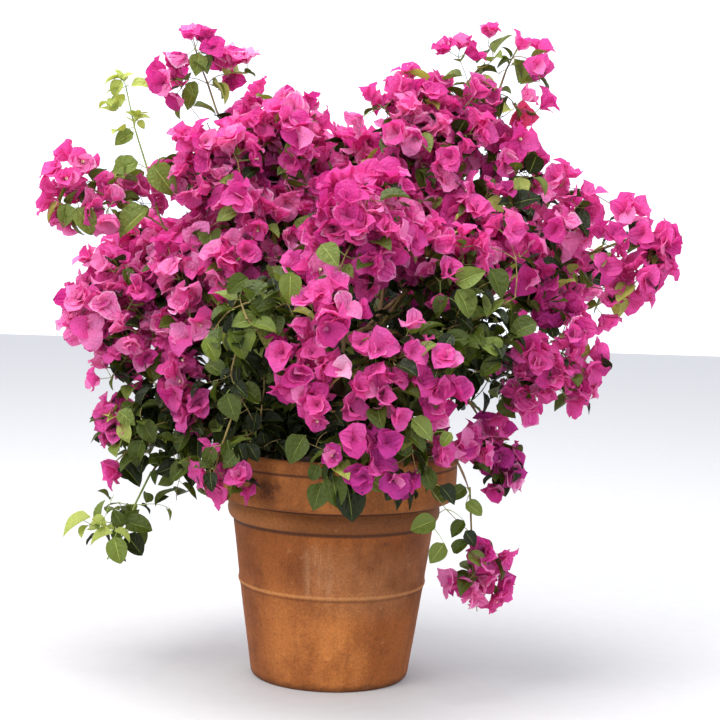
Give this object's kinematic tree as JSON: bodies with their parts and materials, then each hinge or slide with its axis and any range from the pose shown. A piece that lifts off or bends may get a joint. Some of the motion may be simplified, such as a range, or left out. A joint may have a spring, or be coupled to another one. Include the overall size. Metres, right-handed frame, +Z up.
{
  "type": "potted bougainvillea bush",
  "caption": "Bougainvillea bush in bloom, with loose arching sprays of magenta bracts and green leaves, in a round terracotta pot with a deep collar.",
  "frame": {"origin": "middle of the pot's flat underside", "axes": "+Z up; -Y towards the front, the side seen in the picture; +X to the right seen from the front"},
  "size_m": [0.9835, 0.7345, 0.9847],
  "materials": {
    "terracotta": "matt, weathered",
    "soil": "rough, crumbly",
    "bark": "rough",
    "blossom": "papery",
    "leaves": "satin"
  },
  "bodies": {
    "root": {"pot": "terracotta", "soil": "soil", "trunk": "bark", "bough_upper_middle": "bark", "bough_upper_left": "bark", "bough_upper_right": "bark", "bough_front_upper": "bark", "bough_right_upper": "bark", "bough_top_right": "bark", "bough_top_left": "bark", "bough_shoot_left": "bark", "bough_left_upper": "bark", "bough_left_middle": "bark", "bough_left_low": "bark", "bough_left_trailing": "bark", "bough_front_left": "bark", "bough_front_right": "bark", "bough_front_low": "bark", "bough_front_low_left": "bark", "bough_right_middle": "bark", "bough_right_end": "bark", "bough_right_hanging": "bark", "bough_right_low": "bark", "bough_right_trailing": "bark", "bough_front_side": "bark", "bough_back_upper": "bark", "bough_back_left": "bark", "bough_back_right": "bark", "bough_back_middle": "bark", "bough_back_low": "bark", "foliage_upper_middle": "blossom", "foliage_upper_left": "blossom", "foliage_upper_right": "blossom", "foliage_front_upper": "blossom", "foliage_right_upper": "blossom", "foliage_top_right": "blossom", "foliage_top_left": "blossom", "foliage_shoot_left": "leaves", "foliage_left_upper": "blossom", "foliage_left_middle": "blossom", "foliage_left_low": "leaves", "foliage_left_trailing": "leaves", "foliage_front_left": "leaves", "foliage_front_right": "blossom", "foliage_front_low": "leaves", "foliage_front_low_left": "blossom", "foliage_right_middle": "blossom", "foliage_right_end": "blossom", "foliage_right_hanging": "blossom", "foliage_right_low": "blossom", "foliage_right_trailing": "leaves", "foliage_front_side": "leaves", "foliage_heart_left": "blossom", "foliage_heart_right": "blossom", "foliage_back_upper": "blossom", "foliage_back_left": "blossom", "foliage_back_right": "blossom", "foliage_back_middle": "blossom", "foliage_back_low": "leaves"}
  },
  "joints": []
}
